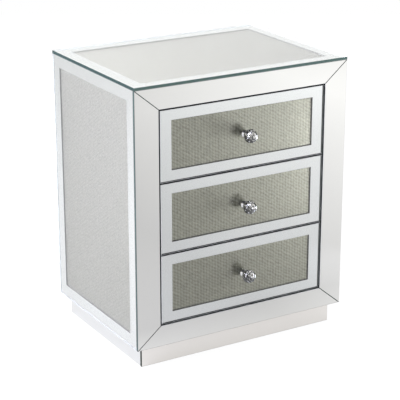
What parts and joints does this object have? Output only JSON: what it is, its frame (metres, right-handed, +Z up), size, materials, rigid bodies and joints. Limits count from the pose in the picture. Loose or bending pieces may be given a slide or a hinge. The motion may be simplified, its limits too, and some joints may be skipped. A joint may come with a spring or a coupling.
{
  "type": "bedside chest",
  "caption": "Straight-sided bedside chest clad in mirrored glass, with woven metallic insets, sliding drawers on ball-bearing slides, faceted crystal knobs and a recessed plinth.",
  "frame": {"origin": "on the floor, under the middle of the box that holds the chest and its knobs", "axes": "+Z up, the drawers open towards -Y, +X to the right seen from the front"},
  "size_m": [0.56, 0.446, 0.668],
  "materials": {
    "carcass": "painted fibreboard",
    "back_board": "painted hardboard",
    "batten_wood": "planed softwood",
    "drawer_wood": "silver-grey lacquer",
    "drawer_base": "silver-grey lacquer",
    "weave": "metallic weave",
    "window_glass": "clear, silvered behind the border",
    "mirror_glass": "silvered",
    "chrome": "polished",
    "crystal": "cut and polished",
    "slide_steel": "zinc plated",
    "screw_steel": "zinc plated"
  },
  "bodies": {
    "case": {"side_board_left": "carcass", "side_board_right": "carcass", "top_board": "carcass", "bottom_board": "carcass", "back_panel": "back_board", "face_stile_left": "carcass", "face_stile_right": "carcass", "face_rail_top": "carcass", "face_rail_bottom": "carcass", "plinth_front": "carcass", "plinth_back": "carcass", "plinth_sides": "carcass", "runner_battens": "batten_wood", "side_weave_left": "weave", "side_weave_right": "weave", "top_weave": "weave", "side_glass_left": "window_glass", "side_glass_right": "window_glass", "top_glass": "window_glass", "frame_mirror_left": "mirror_glass", "frame_mirror_right": "mirror_glass", "frame_mirror_top": "mirror_glass", "frame_mirror_bottom": "mirror_glass", "plinth_mirror_front": "mirror_glass", "plinth_mirror_left": "mirror_glass", "plinth_mirror_right": "mirror_glass", "slide_channels": "slide_steel"},
    "drawer_bottom": {"drawer_front_bottom": "carcass", "drawer_weave_bottom": "weave", "drawer_glass_bottom": "window_glass", "drawer_sides_bottom": "drawer_wood", "drawer_bottom_bottom": "drawer_base", "drawer_back_bottom": "drawer_wood", "knob_neck_bottom": "chrome", "knob_crystal_bottom": "crystal", "knob_screw_bottom": "screw_steel", "slide_rails_bottom": "slide_steel"},
    "cages_bottom": {"ball_cages_bottom": "slide_steel"},
    "drawer_middle": {"drawer_front_middle": "carcass", "drawer_weave_middle": "weave", "drawer_glass_middle": "window_glass", "drawer_sides_middle": "drawer_wood", "drawer_bottom_middle": "drawer_base", "drawer_back_middle": "drawer_wood", "knob_neck_middle": "chrome", "knob_crystal_middle": "crystal", "knob_screw_middle": "screw_steel", "slide_rails_middle": "slide_steel"},
    "cages_middle": {"ball_cages_middle": "slide_steel"},
    "drawer_top": {"drawer_front_top": "carcass", "drawer_weave_top": "weave", "drawer_glass_top": "window_glass", "drawer_sides_top": "drawer_wood", "drawer_bottom_top": "drawer_base", "drawer_back_top": "drawer_wood", "knob_neck_top": "chrome", "knob_crystal_top": "crystal", "knob_screw_top": "screw_steel", "slide_rails_top": "slide_steel"},
    "cages_top": {"ball_cages_top": "slide_steel"}
  },
  "joints": [
    {"name": "drawer_bottom_slide", "type": "slide", "parent": "case", "child": "drawer_bottom", "axis": [0, -1, 0], "range_m": [0, 0.26]},
    {"name": "cages_bottom_slide", "type": "slide", "parent": "case", "child": "cages_bottom", "axis": [0, -1, 0], "range_m": [0, 0.13]},
    {"name": "drawer_middle_slide", "type": "slide", "parent": "case", "child": "drawer_middle", "axis": [0, -1, 0], "range_m": [0, 0.26]},
    {"name": "cages_middle_slide", "type": "slide", "parent": "case", "child": "cages_middle", "axis": [0, -1, 0], "range_m": [0, 0.13]},
    {"name": "drawer_top_slide", "type": "slide", "parent": "case", "child": "drawer_top", "axis": [0, -1, 0], "range_m": [0, 0.26]},
    {"name": "cages_top_slide", "type": "slide", "parent": "case", "child": "cages_top", "axis": [0, -1, 0], "range_m": [0, 0.13]}
  ],
  "couplings": [
    {"joint": "cages_bottom_slide", "follows": "drawer_bottom_slide", "ratio": 0.5},
    {"joint": "cages_middle_slide", "follows": "drawer_middle_slide", "ratio": 0.5},
    {"joint": "cages_top_slide", "follows": "drawer_top_slide", "ratio": 0.5}
  ]
}
